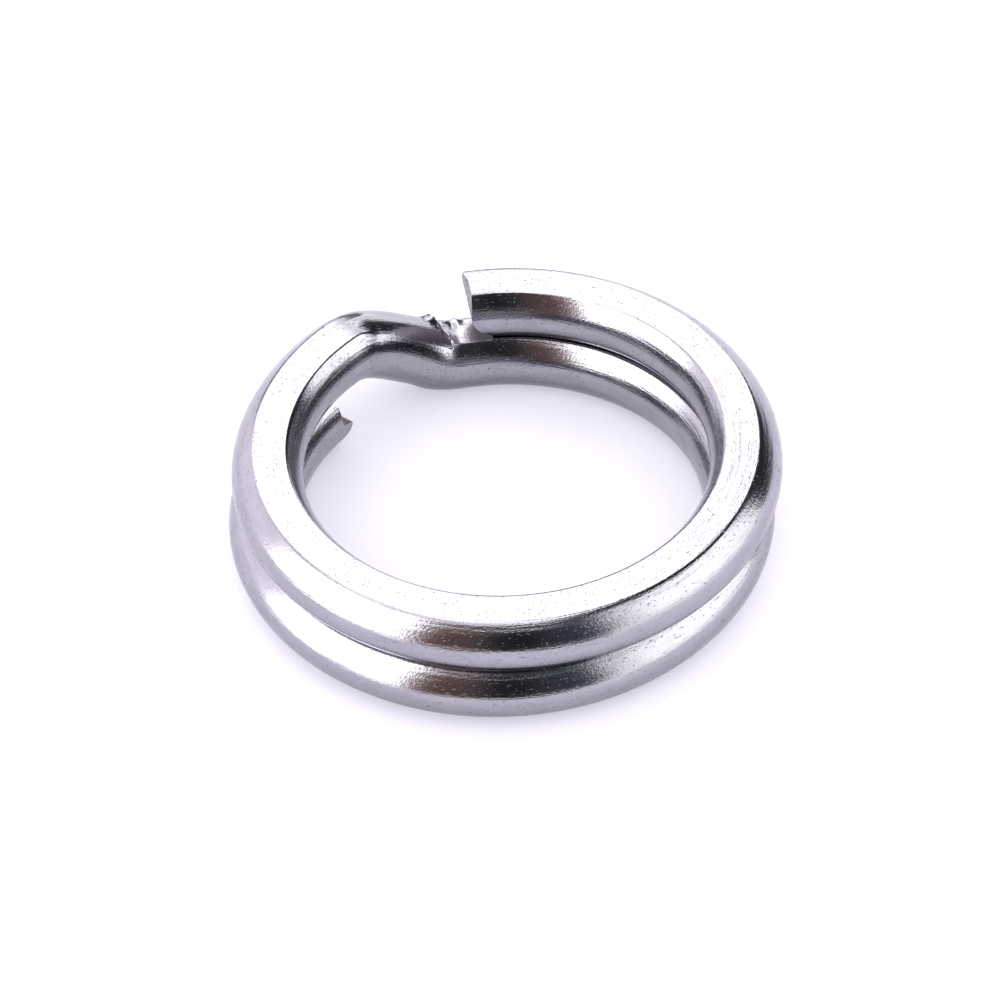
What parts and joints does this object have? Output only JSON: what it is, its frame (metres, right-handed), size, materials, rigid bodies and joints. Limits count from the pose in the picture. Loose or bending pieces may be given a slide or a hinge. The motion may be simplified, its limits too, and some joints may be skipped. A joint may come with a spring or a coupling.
{
  "type": "split key ring",
  "caption": "Round split ring wound twice from flattened spring wire, whose free ends flex apart to thread a key on.",
  "frame": {"origin": "on the plane that the ring lies on, under the middle of the ring", "axes": "+Z along the ring's axis, up through its hole; +X to the right and +Y away from someone who looks at the ring with the crossover and the wire's upper end at the back"},
  "size_m": [0.0162, 0.016, 0.0038],
  "materials": {
    "plated_steel": "bright nickel-plated spring steel, tumbled to a mirror with fine drawing lines"
  },
  "bodies": {
    "crossover": {"crossover": "plated_steel"},
    "upper_left_back": {"upper_left_back": "plated_steel"},
    "upper_left_front": {"upper_left_front": "plated_steel"},
    "upper_front_left": {"upper_front_left": "plated_steel"},
    "upper_front_right": {"upper_front_right": "plated_steel"},
    "upper_right_front": {"upper_right_front": "plated_steel"},
    "upper_right_back": {"upper_right_back": "plated_steel"},
    "upper_end": {"upper_end": "plated_steel"},
    "lower_back_right": {"lower_back_right": "plated_steel"},
    "lower_right_back": {"lower_right_back": "plated_steel"},
    "lower_right_front": {"lower_right_front": "plated_steel"},
    "lower_front_right": {"lower_front_right": "plated_steel"},
    "lower_front_left": {"lower_front_left": "plated_steel"},
    "lower_left_front": {"lower_left_front": "plated_steel"},
    "lower_end": {"lower_end": "plated_steel"}
  },
  "joints": [
    {"name": "upper_left_back_flex", "type": "hinge", "parent": "crossover", "child": "upper_left_back", "pos_m": [-0.00566, 0.00389, 0.00285], "axis": [-0.5592, -0.829, 0], "range_deg": [0, 2.04], "stiffness_Nm_per_rad": 23},
    {"name": "upper_left_front_flex", "type": "hinge", "parent": "upper_left_back", "child": "upper_left_front", "pos_m": [-0.00673, -0.00128, 0.00285], "axis": [0.1847, -0.9828, 0], "range_deg": [0, 2.04], "stiffness_Nm_per_rad": 23},
    {"name": "upper_front_left_flex", "type": "hinge", "parent": "upper_left_front", "child": "upper_front_left", "pos_m": [-0.00386, -0.00572, 0.00285], "axis": [0.822, -0.5695, 0], "range_deg": [0, 2.04], "stiffness_Nm_per_rad": 23},
    {"name": "upper_front_right_flex", "type": "hinge", "parent": "upper_front_left", "child": "upper_front_right", "pos_m": [0.0013, -0.00685, 0.00285], "axis": [0.985, 0.1724, 0], "range_deg": [0, 2.04], "stiffness_Nm_per_rad": 23},
    {"name": "upper_right_front_flex", "type": "hinge", "parent": "upper_front_right", "child": "upper_right_front", "pos_m": [0.00577, -0.00403, 0.00285], "axis": [0.5797, 0.8148, 0], "range_deg": [0, 2.04], "stiffness_Nm_per_rad": 23},
    {"name": "upper_right_back_flex", "type": "hinge", "parent": "upper_right_front", "child": "upper_right_back", "pos_m": [0.00697, 0.00111, 0.00285], "axis": [-0.1601, 0.9871, 0], "range_deg": [0, 2.04], "stiffness_Nm_per_rad": 23},
    {"name": "upper_end_flex", "type": "hinge", "parent": "upper_right_back", "child": "upper_end", "pos_m": [0.00421, 0.00562, 0.00285], "axis": [-0.8075, 0.5898, 0], "range_deg": [0, 2.04], "stiffness_Nm_per_rad": 23},
    {"name": "lower_back_right_flex", "type": "hinge", "parent": "crossover", "child": "lower_back_right", "pos_m": [0.00026, 0.00694, 0.00094], "axis": [0.9986, -0.0523, 0], "range_deg": [0, 2.01], "stiffness_Nm_per_rad": 23},
    {"name": "lower_right_back_flex", "type": "hinge", "parent": "lower_back_right", "child": "lower_right_back", "pos_m": [0.00496, 0.00477, 0.00094], "axis": [0.6856, -0.7279, 0], "range_deg": [0, 2.01], "stiffness_Nm_per_rad": 23},
    {"name": "lower_right_front_flex", "type": "hinge", "parent": "lower_right_back", "child": "lower_right_front", "pos_m": [0.00685, -0.00005, 0.00094], "axis": [-0.0075, -1, 0], "range_deg": [0, 2.01], "stiffness_Nm_per_rad": 23},
    {"name": "lower_front_right_flex", "type": "hinge", "parent": "lower_right_front", "child": "lower_front_right", "pos_m": [0.00489, -0.00484, 0.00094], "axis": [-0.6964, -0.7176, 0], "range_deg": [0, 2.01], "stiffness_Nm_per_rad": 23},
    {"name": "lower_front_left_flex", "type": "hinge", "parent": "lower_front_right", "child": "lower_front_left", "pos_m": [0.00015, -0.00695, 0.00094], "axis": [-0.9993, -0.0374, 0], "range_deg": [0, 2.01], "stiffness_Nm_per_rad": 23},
    {"name": "lower_left_front_flex", "type": "hinge", "parent": "lower_front_left", "child": "lower_left_front", "pos_m": [-0.00472, -0.0052, 0.00094], "axis": [-0.7481, 0.6636, 0], "range_deg": [0, 2.01], "stiffness_Nm_per_rad": 23},
    {"name": "lower_end_flex", "type": "hinge", "parent": "lower_left_front", "child": "lower_end", "pos_m": [-0.00704, -0.00057, 0.00094], "axis": [-0.0822, 0.9966, 0], "range_deg": [0, 2.01], "stiffness_Nm_per_rad": 23}
  ]
}
